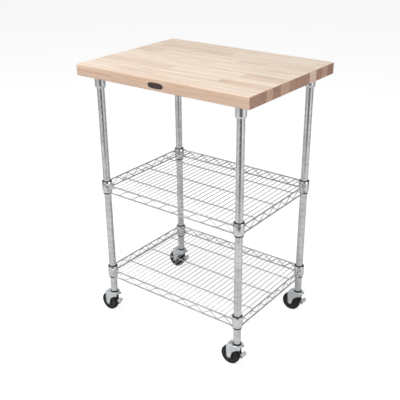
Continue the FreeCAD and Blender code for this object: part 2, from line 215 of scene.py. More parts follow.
def buildMapleBoards():
    look = mapleLook
    group, start, end = newGroup(
        "mapleBoards",
        (("Vector", "NodeSocketVector", None), ("Normal", "NodeSocketVector", None)),
        (("Color", "NodeSocketColor"), ("Pores", "NodeSocketFloat"), ("Height", "NodeSocketFloat"),
         ("End", "NodeSocketFloat")))
    split = addNode(group, "ShaderNodeSeparateXYZ", (-1200, 200), None, {0: start.outputs["Vector"]})
    face = addNode(group, "ShaderNodeSeparateXYZ", (-1200, -500), None, {0: start.outputs["Normal"]})
    x, y, z = split.outputs
    sway = doMath(group, "SINE", (-1050, 60), doMath(group, "MULTIPLY", (-1050, 120), y, 41.0))
    lane = doMath(group, "MULTIPLY_ADD", (-900, 60), sway, 0.14,
                  doMath(group, "DIVIDE", (-1050, 200), y, look["stripWidth"]))
    strip = doMath(group, "FLOOR", (-750, 60), lane)
    across = doMath(group, "FRACT", (-750, 0), lane)
    oneWay = {"noise_dimensions": "1D"}
    stripDraw = addNode(group, "ShaderNodeTexWhiteNoise", (-600, 60), oneWay, {"W": strip})
    run = doMath(group, "MULTIPLY_ADD", (-450, 100), stripDraw.outputs["Value"], 5.0,
                 doMath(group, "DIVIDE", (-450, 160), x, look["boardLength"]))
    board = doMath(group, "FLOOR", (-300, 100), run)
    along = doMath(group, "FRACT", (-300, 40), run)
    label = doMath(group, "MULTIPLY_ADD", (-150, 100), board, 7.31, strip)
    draw = addNode(group, "ShaderNodeTexWhiteNoise", (0, 100), oneWay, {"W": label})
    shift = addNode(group, "ShaderNodeVectorMath", (0, -60), {"operation": "SCALE"},
                    {0: draw.outputs["Color"], "Scale": 3.0})
    local = addNode(group, "ShaderNodeVectorMath", (150, -60), {"operation": "ADD"},
                    {0: start.outputs["Vector"], 1: shift.outputs[0]})

    # along the grain: growth rings, pores, streaks and thin dark mineral lines
    wander = stretchedNoise(group, (300, -60), local.outputs[0], (1.6, 24.0, 24.0), 4.0, 0.5)
    ringWave = doMath(group, "SINE", (600, -120), doMath(group, "MULTIPLY", (600, -60), wander, 34.0))
    ringLine = remap(group, (750, -60), ringWave, 0.1, 1.0, 0.0, 1.0)
    fleck = stretchedNoise(group, (300, -260), local.outputs[0], (26.0, 620.0, 620.0), 4.0, 0.6)
    pores = remap(group, (600, -260), fleck, 0.45, 0.68, 0.0, 1.0)
    streak = stretchedNoise(group, (300, -420), local.outputs[0], (2.4, 95.0, 95.0), 5.0, 0.62)
    streaks = remap(group, (600, -420), streak, 0.42, 0.72, 0.0, 1.0)
    line = stretchedNoise(group, (300, -580), local.outputs[0], (4.5, 150.0, 150.0), 3.0, 0.55)
    lines = remap(group, (600, -580), line, 0.56, 0.63, 0.0, 1.0)
    linePick = remap(group, (600, -660), draw.outputs["Color"], 0.35, 0.8, 0.15, 1.0)
    lines = doMath(group, "MULTIPLY", (750, -580), lines, linePick)
    tone = doMath(group, "POWER", (150, 220), draw.outputs["Value"], 2.4)
    toned = doMath(group, "MULTIPLY", (150, 300), tone, 0.72)
    colour = mixColour(group, (300, 300), toned, look["pale"], look["tan"])
    lines = doMath(group, "MULTIPLY", (300, 500), lines, 0.6)
    colour = mixColour(group, (380, 300), lines, colour, look["mineral"])
    heartPick = remap(group, (600, -820), stripDraw.outputs["Value"], 0.45, 0.6, 0.0, 0.5)
    heart = remap(group, (600, -740), wander, 0.53, 0.60, 0.0, 1.0)
    heart = doMath(group, "MULTIPLY", (750, -740), heart, heartPick)
    colour = mixColour(group, (420, 300), heart, colour, look["tan"])
    for step, (mark, amount) in enumerate(((ringLine, 0.10), (streaks, 0.34), (pores, 0.07))):
        share = doMath(group, "MULTIPLY", (300 + 150 * step, 420), mark, amount)
        colour = mixColour(group, (450 + 150 * step, 300), share, colour, look["latewood"])

    # end grain on the short sides; on the long sides a warm tint that is partly painted shade, darkening them
    sideX = doMath(group, "ABSOLUTE", (-1050, -500), face.outputs[0])
    endMask = remap(group, (-900, -500), sideX, 0.6, 0.8, 0.0, 1.0)
    endNoise = stretchedNoise(group, (-900, -700), local.outputs[0], (3.0, 55.0, 22.0), 3.0, 0.5)
    endRing = doMath(group, "SINE", (-600, -700), doMath(group, "MULTIPLY", (-600, -640), endNoise, 46.0))
    endMix = doMath(group, "MULTIPLY_ADD", (-450, -700), endRing, 0.13,
                    doMath(group, "MULTIPLY_ADD", (-450, -640), draw.outputs["Value"], 0.75, 0.12))
    endColour = mixColour(group, (-300, -700), endMix, look["endDark"], look["endPale"])
    brightStrip = remap(group, (-300, -800), stripDraw.outputs["Value"], 0.80, 0.84, 0.0, 0.85)
    endColour = mixColour(group, (-150, -700), brightStrip, endColour, look["endBright"])
    sideY = doMath(group, "ABSOLUTE", (-1050, -560), face.outputs[1])
    sideShadeMask = remap(group, (-900, -560), sideY, 0.5, 0.9, 0.0, 1.0)
    # painted shade in part: this multiply darkens the long sides while warming them
    shadedWarmSide = mixColour(group, (820, 450), 1.0, colour, look["sideTintAndShade"], "MULTIPLY")
    colour = mixColour(group, (820, 300), sideShadeMask, colour, shadedWarmSide)
    colour = mixColour(group, (900, 300), endMask, colour, endColour)

    # darker bands beside some seams, then the seams themselves
    edge = doMath(group, "ABSOLUTE", (-600, -120), doMath(group, "SUBTRACT", (-600, -60), across, 0.5))
    seam = remap(group, (-450, -120), edge, 0.482, 0.494, 0.0, 1.0)
    butt = doMath(group, "ABSOLUTE", (-150, -60), doMath(group, "SUBTRACT", (-150, 0), along, 0.5))
    bandDraw = doMath(group, "MULTIPLY", (-600, -320), draw.outputs["Value"], 9.7)
    bandDraw = doMath(group, "FRACT", (-600, -260), bandDraw)
    bandPick = remap(group, (-450, -200), bandDraw, 0.66, 0.74, 0.0, 1.0)
    band = remap(group, (-450, -260), edge, 0.43, 0.485, 0.0, 0.62)
    band = doMath(group, "MULTIPLY", (-300, -200), band, bandPick)
    broken = remap(group, (-300, -320), streak, 0.40, 0.56, 0.15, 1.0)
    band = doMath(group, "MULTIPLY", (-150, -200), band, broken)
    colour = mixColour(group, (980, 300), band, colour, look["mineral"])
    buttSeam = remap(group, (0, -200), butt, 0.4990, 0.4997, 0.0, 1.0)
    flatFace = doMath(group, "SUBTRACT", (0, -300), 1.0, sideY)
    seamShow = remap(group, (150, -200), stripDraw.outputs["Value"], 0.2, 0.9, 0.25, 0.85)
    seams = doMath(group, "MAXIMUM", (0, -260), seam, buttSeam)
    seams = doMath(group, "MULTIPLY", (150, -300), seams, flatFace)
    seamMask = doMath(group, "MULTIPLY", (300, -560), seams, seamShow)
    colour = mixColour(group, (1050, 300), seamMask, colour, look["gap"])

    # plain oval burned into the front
    stretched = []
    for row, (axis, middle, size) in enumerate(zip((x, z), look["stampAt"], look["stampSize"])):
        level = -900 - 100 * row
        away = doMath(group, "SUBTRACT", (-1050, level), axis, middle)
        away = doMath(group, "DIVIDE", (-900, level), away, size)
        away = doMath(group, "ABSOLUTE", (-750, level + 50), away)
        stretched.append(doMath(group, "POWER", (-750, level), away, 3.0))
    oval = doMath(group, "ADD", (-600, -950), *stretched)
    inside = remap(group, (-450, -950), oval, 0.9, 1.1, 1.0, 0.0)
    front = remap(group, (-450, -1050), face.outputs[1], -0.9, -0.8, 1.0, 0.0)
    burn = doMath(group, "MULTIPLY", (-300, -950), inside, front)
    patchy = remap(group, (-300, -1050), streak, 0.3, 0.6, 1.0, 0.92)
    burn = doMath(group, "MULTIPLY", (-150, -950), burn, patchy)
    colour = mixColour(group, (1200, 300), burn, colour, look["burn"])

    height = doMath(group, "MULTIPLY", (600, -520), pores, -0.35)
    height = doMath(group, "SUBTRACT", (750, -420), height, seams)
    height = doMath(group, "SUBTRACT", (900, -420), height, doMath(group, "MULTIPLY", (750, -520), burn, 1.5))
    end.location = (1400, 0)
    group.links.new(colour, end.inputs["Color"])
    group.links.new(pores, end.inputs["Pores"])
    group.links.new(height, end.inputs["Height"])
    group.links.new(endMask, end.inputs["End"])
    return group


mapleBoards = buildMapleBoards()


def makeMaple():
    material, tree, shader, where = newMaterial("oiledMaple")
    boards = placeGroup(tree, mapleBoards, (-900, 0),
                        {"Vector": where.outputs["Object"], "Normal": where.outputs["Normal"]})
    tree.links.new(boards.outputs["Color"], shader.inputs["Base Color"])
    low, high = mapleLook["roughness"]
    rough = remap(tree, (-500, -150), boards.outputs["Pores"], 0.0, 1.0, low, high)
    tree.links.new(rough, shader.inputs["Roughness"])
    shader.inputs["Specular IOR Level"].default_value = 0.35
    addBump(tree, shader, boards.outputs["Height"], 0.35, 0.0003)
    return material


metalLooks = {
    # postChrome's groove colour and amount paint shade into the grooves
    "postChrome": {"colour": (0.71, 0.715, 0.72), "shade": (0.53, 0.54, 0.55), "rough": (0.14, 0.28),
                   "smudge": 22.0, "scratch": 900.0, "bump": 0.05, "grooveShade": (0.10, 0.10, 0.105),
                   "grooveShadeAmount": 0.38, "groovePitch": 25.4 * mm, "grooveHalf": 0.9 * mm},
    "brightChrome": {"colour": (0.73, 0.735, 0.745), "shade": (0.56, 0.57, 0.585), "rough": (0.13, 0.27),
                     "smudge": 16.0, "scratch": 900.0, "bump": 0.05},
    "wireChrome": {"colour": (0.70, 0.705, 0.71), "shade": (0.54, 0.545, 0.56), "rough": (0.16, 0.32),
                   "smudge": 40.0, "scratch": 1500.0, "bump": 0.06},
    "zincPlate": {"colour": (0.74, 0.765, 0.78), "shade": (0.58, 0.61, 0.635), "rough": (0.26, 0.44),
                  "smudge": 70.0, "scratch": 2200.0, "bump": 0.12},
    "blackOxide": {"colour": (0.05, 0.05, 0.052), "shade": (0.025, 0.025, 0.027), "rough": (0.34, 0.5),
                   "smudge": 90.0, "scratch": 2400.0, "bump": 0.1},
}


def makeMetal(name, firstGroove=None):  # height of one groove; painted shade darkens the grooves
    look = metalLooks[name]
    material, tree, shader, where = newMaterial(name)
    marks = placeGroup(tree, handlingMarks, (-900, 0),
                       {"Vector": where.outputs["Object"], "Smudge Scale": look["smudge"],
                        "Scratch Scale": look["scratch"]})
    smudge = marks.outputs["Smudge"]
    scratch = marks.outputs["Scratch"]
    colour = mixColour(tree, (-500, 200), smudge, look["colour"], look["shade"])
    # painted shade: the colour is darkened inside each groove, where shade falls in the recess
    if firstGroove:
        pitch = look["groovePitch"]
        half = look["grooveHalf"]
        split = addNode(tree, "ShaderNodeSeparateXYZ", (-900, 500), None, {0: where.outputs["Object"]})
        above = doMath(tree, "SUBTRACT", (-750, 500), split.outputs[2], firstGroove)
        turns = doMath(tree, "DIVIDE", (-600, 500), above, pitch)
        off = doMath(tree, "PINGPONG", (-450, 500), turns, 0.5)
        grooveShade = remap(tree, (-300, 500), off, half * 0.4 / pitch, half / pitch, look["grooveShadeAmount"], 0.0)
        colour = mixColour(tree, (-150, 300), grooveShade, colour, look["grooveShade"])
    tree.links.new(colour, shader.inputs["Base Color"])
    smudged = doMath(tree, "MULTIPLY", (-700, -80), smudge, 0.65)
    both = doMath(tree, "MULTIPLY_ADD", (-700, -150), scratch, 0.35, smudged)
    tree.links.new(remap(tree, (-500, -150), both, 0.0, 1.0, *look["rough"]), shader.inputs["Roughness"])
    shader.inputs["Metallic"].default_value = 1.0
    addBump(tree, shader, scratch, look["bump"], 0.0001)
    return material


mouldedLooks = {
    "blackPlastic": {"colour": (0.012, 0.012, 0.0125), "worn": (0.028, 0.028, 0.029), "rough": (0.38, 0.6),
                     "grain": 1600.0, "cloud": 60.0, "bump": 0.12, "shine": 0.4},
    "treadRubber": {"colour": (0.013, 0.0135, 0.0135), "worn": (0.032, 0.032, 0.031), "rough": (0.55, 0.85),
                    "grain": 900.0, "cloud": 48.0, "bump": 0.3, "shine": 0.22},
    "hubPlastic": {"colour": (0.02, 0.021, 0.021), "worn": (0.045, 0.045, 0.046), "rough": (0.35, 0.55),
                   "grain": 1800.0, "cloud": 70.0, "bump": 0.1, "shine": 0.3},
    "pedalGrey": {"colour": (0.64, 0.655, 0.665), "worn": (0.55, 0.565, 0.575), "rough": (0.36, 0.55),
                  "grain": 1700.0, "cloud": 90.0, "bump": 0.12, "shine": 0.5},
}


def makeMoulded(name):
    look = mouldedLooks[name]
    material, tree, shader, where = newMaterial(name)
    skin = placeGroup(tree, mouldedSkin, (-900, 0),
                      {"Vector": where.outputs["Object"], "Grain Scale": look["grain"],
                       "Cloud Scale": look["cloud"]})
    cloud = skin.outputs["Cloud"]
    colour = mixColour(tree, (-500, 200), cloud, look["colour"], look["worn"])
    tree.links.new(colour, shader.inputs["Base Color"])
    tree.links.new(remap(tree, (-500, -150), cloud, 0.0, 1.0, *look["rough"]), shader.inputs["Roughness"])
    addBump(tree, shader, skin.outputs["Grain"], look["bump"], 0.0001)
    shader.inputs["Specular IOR Level"].default_value = look["shine"]
    return material


maple = makeMaple()
brightChrome = makeMetal("brightChrome")
postChrome = makeMetal("postChrome", boxMiddle("lower_collars").z)
wireChrome = makeMetal("wireChrome")
zincPlate = makeMetal("zincPlate")
blackOxide = makeMetal("blackOxide")
blackPlastic = makeMoulded("blackPlastic")
treadRubber = makeMoulded("treadRubber")
hubPlastic = makeMoulded("hubPlastic")
pedalGrey = makeMoulded("pedalGrey")
say("materials ready")


# mesh helpers

def finishPiece(name, bm, material, body, nodes, sharp=32):
    bmesh.ops.recalc_face_normals(bm, faces=bm.faces)
    mesh = bpy.data.meshes.new(name)
    bm.to_mesh(mesh)
    bm.free()
    mesh.shade_smooth()
    mesh.set_sharp_from_angle(angle=math.radians(sharp))
    mesh.materials.append(material)
    piece = bpy.data.objects.new(name, mesh)
    scene.collection.objects.link(piece)
    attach(piece, body)
    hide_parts(*nodes)
    return piece


def arcCorner(before, corner, after, radius, steps):  # points that round one corner
    into = before - corner
    out = after - corner
    room = min(into.length, out.length) * 0.49
    into.normalize()
    out.normalize()
    half = into.angle(out) / 2
    if radius <= 0 or half > math.radians(89):
        return [corner.copy()]
    cut = min(radius / math.tan(half), room)
    bend = cut * math.tan(half)
    centre = corner + (into + out).normalized() * (bend / math.sin(half))
    first = corner + into * cut - centre
    last = corner + out * cut - centre
    size = first.length
    first.normalize()
    last.normalize()
    return [centre + first.slerp(last, k / steps).normalized() * size for k in range(steps + 1)]


def softOutline(points, radius, steps=4):  # closed outline with every corner rounded
    spots = [Vector((a, b, 0)) for a, b in points]
    soft = []
    for k, spot in enumerate(spots):
        soft += arcCorner(spots[k - 1], spot, spots[(k + 1) % len(spots)], radius, steps)
    return [(p.x, p.y) for p in soft]


def softPath(points, radius, steps=5):  # open path with its inner corners rounded
    spots = [Vector(p) for p in points]
    path = [spots[0]]
    for before, corner, after in zip(spots, spots[1:], spots[2:]):
        path += arcCorner(before, corner, after, radius, steps)
    return path + [spots[-1]]


def addLathe(bm, outline, centre, turn=None, steps=48, sweep=360.0, begin=0.0):
    turn = turn or Matrix.Identity(3)
    whole = abs(sweep - 360.0) < 0.01
    rings = []
    for k in range(steps if whole else steps + 1):
        angle = math.radians(begin + sweep * k / steps)
        rings.append([bm.verts.new(turn @ Vector((r * math.cos(angle), r * math.sin(angle), z)) + centre)
                      for r, z in outline])
    count = len(outline)
    for k in range(steps):
        here = rings[k]
        there = rings[(k + 1) % len(rings)]
        for j in range(count):
            after = (j + 1) % count
            if outline[j][0] < 1e-7 and outline[after][0] < 1e-7:
                continue
            bm.faces.new((here[j], there[j], there[after], here[after]))
    if not whole:
        bm.faces.new(rings[0])
        bm.faces.new(list(reversed(rings[-1])))
    bmesh.ops.remove_doubles(bm, verts=[v for ring in rings for v in ring], dist=1e-7)


def addTube(bm, path, radius, sides=10, flare=None):  # flare widens the ends where they are welded
    first, ahead = path[0], (path[1] - path[0]).normalized()
    last, final = path[-1], (path[-1] - path[-2]).normalized()
    middle = [(spot, (after - before).normalized(), radius)
              for before, spot, after in zip(path, path[1:], path[2:])]
    if flare:
        wide, run = flare
        ease = radius * (1 + (wide - 1) * 0.35)
        start = [(first, ahead, radius * wide), (first + ahead * run * 0.4, ahead, ease),
                 (first + ahead * run, ahead, radius)]
        end = [(last - final * run, final, radius), (last - final * run * 0.4, final, ease),
               (last, final, radius * wide)]
    else:
        trimmed = radius * 0.25
        start = [(first, ahead, radius - trimmed), (first + ahead * trimmed, ahead, radius)]
        end = [(last - final * trimmed, final, radius), (last, final, radius - trimmed)]
    rings = []
    side = ahead.orthogonal().normalized()
    for spot, heading, size in start + middle + end:
        side = (side - heading * side.dot(heading)).normalized()
        up = heading.cross(side)
        rings.append([bm.verts.new(spot + (side * math.cos(a) + up * math.sin(a)) * size)
                      for a in (2 * math.pi * j / sides for j in range(sides))])
    for here, there in zip(rings, rings[1:]):
        for j in range(sides):
            bm.faces.new((here[j], here[(j + 1) % sides], there[(j + 1) % sides], there[j]))
    bm.faces.new(list(reversed(rings[0])))
    bm.faces.new(rings[-1])


def addWeld(bm, spot, size):  # small flattened bead where two wires are welded
    shape = Matrix.LocRotScale(spot, None, Vector(size))
    bmesh.ops.create_icosphere(bm, subdivisions=1, radius=1.0, matrix=shape)


def addSlab(bm, outline, place, low, high, bevel, segments=2):  # outline pushed from low to high, rims eased
    bottom = [bm.verts.new(place(a, b, low)) for a, b in outline]
    top = [bm.verts.new(place(a, b, high)) for a, b in outline]
    caps = [bm.faces.new(bottom), bm.faces.new(list(reversed(top)))]
    count = len(outline)
    for k in range(count):
        after = (k + 1) % count
        bm.faces.new((bottom[k], top[k], top[after], bottom[after]))
    if bevel > 0:
        rims = list({edge for cap in caps for edge in cap.edges})
        bmesh.ops.bevel(bm, geom=rims, offset=bevel, segments=segments, profile=0.6, affect="EDGES",
                        clamp_overlap=True)


# worktop

topLook = {"cornerRadius": 6 * mm, "edgeRadius": 3 * mm, "cornerSteps": 7, "edgeSteps": 4}


def makeWorktop():
    look = topLook
    low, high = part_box("butcher_block_top")
    big = look["cornerRadius"]
    ease = look["edgeRadius"]
    upperRim = []
    for k in range(look["edgeSteps"] + 1):
        angle = math.pi / 2 * k / look["edgeSteps"]
        upperRim.append((high.z - ease * (1 - math.cos(angle)), ease * math.sin(angle)))
    lowerRim = [(low.z + high.z - z, out) for z, out in reversed(upperRim)]
    quarters = ((high.x, high.y, 0), (low.x, high.y, 90), (low.x, low.y, 180), (high.x, low.y, 270))
    rings = []
    bm = bmesh.new()
    for z, out in upperRim + lowerRim:
        ring = []
        radius = big - (ease - out)
        for cornerX, cornerY, start in quarters:
            centre = Vector((cornerX - math.copysign(big, cornerX), cornerY - math.copysign(big, cornerY), z))
            for k in range(look["cornerSteps"] + 1):
                angle = math.radians(start + 90 * k / look["cornerSteps"])
                ring.append(bm.verts.new(centre + Vector((math.cos(angle), math.sin(angle), 0)) * radius))
        rings.append(ring)
    for here, there in zip(rings, rings[1:]):
        for k in range(len(here)):
            after = (k + 1) % len(here)
            bm.faces.new((here[k], here[after], there[after], there[k]))
    bm.faces.new(rings[0])
    bm.faces.new(list(reversed(rings[-1])))
    finishPiece("worktop", bm, maple, "cart", ["butcher_block_top"], 40)


makeWorktop()
say("worktop")


# leg sockets and their screws

socketLook = {"cupRadius": 17.8 * mm, "flange": 3.0 * mm, "plateUnder": 6.0 * mm, "screwCircle": 27.5 * mm}


def makeSocket(corner):
    look = socketLook
    node = "socket_" + corner
    low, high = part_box(node)
    centre = boxMiddle(node)
    flange = (high.x - low.x) / 2
    thick = look["flange"]
    post = boxSize("post_" + corner).x / 2
    cup = look["cupRadius"]
    drop = high.z - low.z
    outline = [
        (flange - 0.6 * mm, 0), (flange, -0.6 * mm), (flange, 0.8 * mm - thick), (flange - 0.8 * mm, -thick),
        (cup + 3.4 * mm, -thick), (cup + 1.2 * mm, -3.7 * mm), (cup + 0.2 * mm, -5.4 * mm), (cup, -8 * mm),
        (cup, -drop + 8 * mm), (cup - 0.2 * mm, -drop + 6.2 * mm), (cup - 0.7 * mm, -drop + 3.6 * mm),
        (cup - 1.4 * mm, -drop + 1.6 * mm), (cup - 1.8 * mm, -drop + 0.7 * mm),
        (cup - 2.4 * mm, -drop + 0.1 * mm), (cup - 3.0 * mm, -drop), (post + 0.5 * mm, -drop),
        (post + 0.05 * mm, -drop + 0.5 * mm),
        (post + 0.05 * mm, -look["plateUnder"]), (0, -look["plateUnder"]), (0, 0),
    ]
    bm = bmesh.new()
    addLathe(bm, outline, Vector((centre.x, centre.y, high.z)), steps=64)
    finishPiece("leg_socket_" + corner, bm, brightChrome, "cart", [node])


def makeSetScrews():
    bm = bmesh.new()
    for corner in corners:
        post = boxMiddle("post_" + corner)
        inward = -1 if post.x > 0 else 1
        turn = Matrix.Rotation(math.radians(90 * inward), 3, "Y")
        spot = Vector((post.x, post.y, boxMiddle("set_screws").z))
        screw = [(0, 12.9), (2.3, 12.9), (2.3, 16.0), (2.0, 16.5), (1.3, 16.5), (1.25, 15.2), (0, 15.2)]
        addLathe(bm, inMillimetres(screw), spot, turn, 24)
        collar = [(2.35, 16.9), (3.1, 17.0), (3.1, 17.9), (2.7, 18.15), (2.35, 17.9)]
        addLathe(bm, inMillimetres(collar), spot, turn, 24)
    finishPiece("set_screws_all", bm, blackOxide, "cart", ["set_screws"])


def makeFlangeScrews():
    bm = bmesh.new()
    circle = socketLook["screwCircle"]
    for corner in corners:
        centre = boxMiddle("socket_" + corner)
        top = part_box("socket_" + corner)[1].z
        for quarter in range(4):
            angle = math.radians(45 + 90 * quarter)
            outward = Vector((math.cos(angle), math.sin(angle), 0))
            spot = Vector((centre.x, centre.y, top - socketLook["flange"])) + outward * circle
            head = [(0, 0.4), (4.2, 0.4), (4.0, -0.5), (3.1, -1.5), (1.9, -2.1), (1.4, -2.2), (1.0, -1.2),
                    (0, -1.0)]
            addLathe(bm, inMillimetres(head), spot, steps=20)
            for turned in (angle, angle + math.pi / 2):  # the two bars of the cross recess
                way = Vector((math.cos(turned), math.sin(turned), 0))
                aside = Vector((-way.y, way.x, 0))
                bar = inMillimetres([(-1.6, -0.3), (1.6, -0.3), (1.6, 0.3), (-1.6, 0.3)])
                addSlab(bm, bar, lambda a, b, h: spot + way * a + aside * b + Vector((0, 0, h)),
                        -2.26 * mm, -1.0 * mm, 0)
    finishPiece("flange_screws", bm, zincPlate, "cart", ["socket_screws"])


for corner in corners:
    makeSocket(corner)
makeSetScrews()
makeFlangeScrews()
say("sockets and screws")


# posts

postLook = {"groovePitch": 25.4 * mm, "grooveDeep": 0.4 * mm, "grooveHalf": 0.75 * mm, "wall": 1.2 * mm}

# one groove from below to above: height in half widths, depth as a share of the full depth
grooveShape = ((-1.5, 0.0), (-1.0, 0.0), (-0.75, 0.2), (-0.45, 0.85), (-0.2, 1.0),
               (0.2, 1.0), (0.45, 0.85), (0.75, 0.2), (1.0, 0.0), (1.5, 0.0))


def makePost(corner):
    look = postLook
    node = "post_" + corner
    low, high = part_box(node)
    centre = boxMiddle(node)
    radius = (high.x - low.x) / 2
    start = boxMiddle("lower_collars").z
    while start - look["groovePitch"] > low.z + 4 * mm:
        start -= look["groovePitch"]
    outline = [(radius - look["wall"], low.z), (radius - 0.3 * mm, low.z), (radius, low.z + 0.3 * mm)]
    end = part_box("socket_" + corner)[0].z - 2 * mm
    while start < end:
        half = look["grooveHalf"]
        for step, depth in grooveShape:
            outline.append((radius - look["grooveDeep"] * depth, start + half * step))
        start += look["groovePitch"]
    outline += [(radius, high.z), (radius - look["wall"], high.z)]
    bm = bmesh.new()
    addLathe(bm, outline, Vector((centre.x, centre.y, 0)), steps=48)
    finishPiece("grooved_post_" + corner, bm, postChrome, "cart", [node], 40)


for corner in corners:
    makePost(corner)
say("posts")


# wire shelves

shelfLook = {
    "collarRadius": 18.4 * mm, "collarBore": 15.2 * mm,
    "railWire": 2.75 * mm, "zigzagWire": 1.7 * mm, "deckWire": 1.3 * mm, "crossWire": 2.1 * mm,
    "longPitch": 60 * mm, "shortPitch": 54.5 * mm, "deckPitch": 19.6 * mm, "deckSide": 14,
    "crossSpacing": 121 * mm, "zigzagOut": 0.9 * mm, "bend": 4 * mm,
}


def makeCollars(level):
    look = shelfLook
    node = level + "_collars"
    low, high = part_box(node)
    big = look["collarRadius"]
    bore = look["collarBore"]
    drop = high.z - low.z
    outline = [
        (bore, 0), (big - 1.3 * mm, 0), (big - 0.5 * mm, -0.3 * mm), (big, -1.2 * mm), (big, -drop + 14 * mm),
        (big - 0.15 * mm, -drop + 10.5 * mm), (big - 0.6 * mm, -drop + 7.5 * mm),
        (big - 1.3 * mm, -drop + 4.4 * mm), (big - 1.9 * mm, -drop + 2.0 * mm),
        (big - 2.3 * mm, -drop + 0.6 * mm), (big - 2.8 * mm, -drop), (bore, -drop),
    ]
    bm = bmesh.new()
    for corner in corners:
        post = boxMiddle("post_" + corner)
        addLathe(bm, outline, Vector((post.x, post.y, high.z)), steps=56)
    finishPiece(level + "_shelf_collars", bm, brightChrome, "cart", [node])


def makeSleeves(level):
    look = shelfLook
    node = level + "_sleeves"
    low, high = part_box(node)
    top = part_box(level + "_collars")[1].z
    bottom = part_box(level + "_collars")[0].z
    post = boxSize("post_front_left").x / 2 + 0.05 * mm
    lip = look["collarRadius"] - 1.0 * mm
    bore = look["collarBore"]
    outline = softOutline([
        (post, high.z), (lip - 0.6 * mm, high.z), (lip, high.z - 0.5 * mm), (lip, top),
        (bore - 0.02 * mm, top), (bore - 0.02 * mm, bottom), (bore + 0.4 * mm, bottom),
        (bore + 0.4 * mm, low.z + 0.5 * mm),
        (bore - 0.1 * mm, low.z), (post, low.z),
    ], 0.25 * mm, 2)
    bm = bmesh.new()
    for corner in corners:
        spot = boxMiddle("post_" + corner)
        for half in range(2):
            addLathe(bm, outline, Vector((spot.x, spot.y, 0)), steps=26, sweep=177.4, begin=46.3 + 180 * half)
    finishPiece(level + "_split_sleeves", bm, blackPlastic, "cart", [node])


def makeRail(level, side):
    look = shelfLook
    node = level + "_" + side + "_rail"
    low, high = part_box(node)
    longWay = side in ("front", "back")
    sign = 1 if side in ("back", "right") else -1
    wire = look["railWire"]
    thin = look["zigzagWire"]
    line = (low.y + high.y) / 2 if longWay else (low.x + high.x) / 2
    post = boxMiddle("post_back_right")
    reach = post.x if longWay else post.y
    gap = abs(line) - (post.y if longWay else post.x)
    reach -= math.sqrt(look["collarRadius"] ** 2 - gap ** 2) - 0.5 * mm
    topZ = high.z - wire
    lowZ = low.z + wire
    out = line + sign * look["zigzagOut"]

    def place(along, across, z):
        return Vector((along, across, z)) if longWay else Vector((across, along, z))

    bm = bmesh.new()
    for z in (topZ, lowZ):
        path = [place(reach * share, line, z) for share in (-1.0, -0.5, 0.5, 1.0)]
        addTube(bm, path, wire, 14, (1.45, 3.5 * mm))
    pitch = look["longPitch"] if longWay else look["shortPitch"]
    peak = topZ - wire - thin + 1.1 * mm
    dip = lowZ + wire + thin - 1.1 * mm
    count = int((reach + 8 * mm) / (pitch / 2))
    points = []
    for step in range(-count, count + 1):
        isLow = (step % 2 == 0) != longWay
        points.append(place(step * pitch / 2, out, dip if isLow else peak))
        weldZ = lowZ + wire * 0.85 if isLow else topZ - wire * 0.85
        size = (3.4 * mm, 1.7 * mm, 0.8 * mm) if longWay else (1.7 * mm, 3.4 * mm, 0.8 * mm)
        addWeld(bm, place(step * pitch / 2, line + sign * 1.1 * mm, weldZ), size)
    rest = reach - count * pitch / 2
    slope = (peak - dip) / (pitch / 2)
    endLow = (count % 2 == 0) != longWay
    endZ = dip + rest * slope if endLow else peak - rest * slope
    points = [place(-reach, out, endZ)] + points + [place(reach, out, endZ)]
    addTube(bm, softPath(points, look["bend"], 5), thin, 10, (1.3, 2 * mm))
    finishPiece(level + "_" + side + "_truss", bm, wireChrome, "cart", [node], 50)


def makeDeck(level):
    look = shelfLook
    node = level + "_deck_wires"
    low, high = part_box(node)
    z = (low.z + high.z) / 2
    bm = bmesh.new()
    for step in range(-look["deckSide"], look["deckSide"] + 1):
        x = step * look["deckPitch"]
        reach = high.y
        if abs(step) == look["deckSide"]:
            post = boxMiddle("post_back_right")
            inset = math.sqrt(max(look["collarRadius"] ** 2 - (post.x - abs(x)) ** 2, 0))
            reach = post.y - inset + 0.6 * mm
        path = [Vector((x, -reach, z)), Vector((x, 0, z)), Vector((x, reach, z))]
        addTube(bm, path, look["deckWire"], 10)
        for row in (-1, 0, 1):
            spot = Vector((x, row * look["crossSpacing"], z - look["deckWire"] * 0.95))
            addWeld(bm, spot, (1.1 * mm, 1.5 * mm, 0.55 * mm))
    finishPiece(level + "_deck", bm, wireChrome, "cart", [node], 50)


def makeCrossWires(level):
    look = shelfLook
    node = level + "_cross_wires"
    low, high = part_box(node)
    thick = look["crossWire"]
    reach = high.x
    bm = bmesh.new()
    for row in (-1, 0, 1):
        y = row * look["crossSpacing"]
        top = high.z - thick
        bottom = low.z + thick
        points = [(-reach, y, top), (-reach + 5.5 * mm, y, top), (-reach + 12.5 * mm, y, bottom),
                  (reach - 12.5 * mm, y, bottom), (reach - 5.5 * mm, y, top), (reach, y, top)]
        addTube(bm, softPath(points, 5 * mm, 5), thick, 12)
    finishPiece(level + "_deck_struts", bm, wireChrome, "cart", [node], 50)


for level in levels:
    makeCollars(level)
    makeSleeves(level)
    for side in ("front", "back", "left", "right"):
        makeRail(level, side)
    makeDeck(level)
    makeCrossWires(level)
say("wire shelves")


# casters

casterLook = {
    "treadWidth": 20.0, "ribs": 6, "foldRadius": 2.6, "sheet": 2.6, "trail": 24.4, "axleHeight": 35.0,
    "legEnd": 8.4, "legBack": 34.8, "legShoulder": 77.5,
    "backRoll": (-30.5, 4.3, 5.0), "frontRoll": (18.0, 2.6, 3.0),  # start, run and drop
    "leverWidth": 12.0, "leverEase": 1.1, "padRidges": 4,
}

acrossWheel = Matrix.Rotation(math.radians(90), 3, "X")  # turns a lathe's axis along Y, the way of the axle


def casterOrigin(corner):  # stem axis at floor level
    spot = boxMiddle("caster_" + corner + "_insert")
    return Vector((spot.x, spot.y, 0))


def pedalPivot(corner):
    name = corner + "_brake_press"
    return Vector(next(joint["pos_m"] for joint in frame["joints"] if joint["name"] == name))


def wheelMiddle(corner):
    return boxMiddle("caster_" + corner + "_tread")


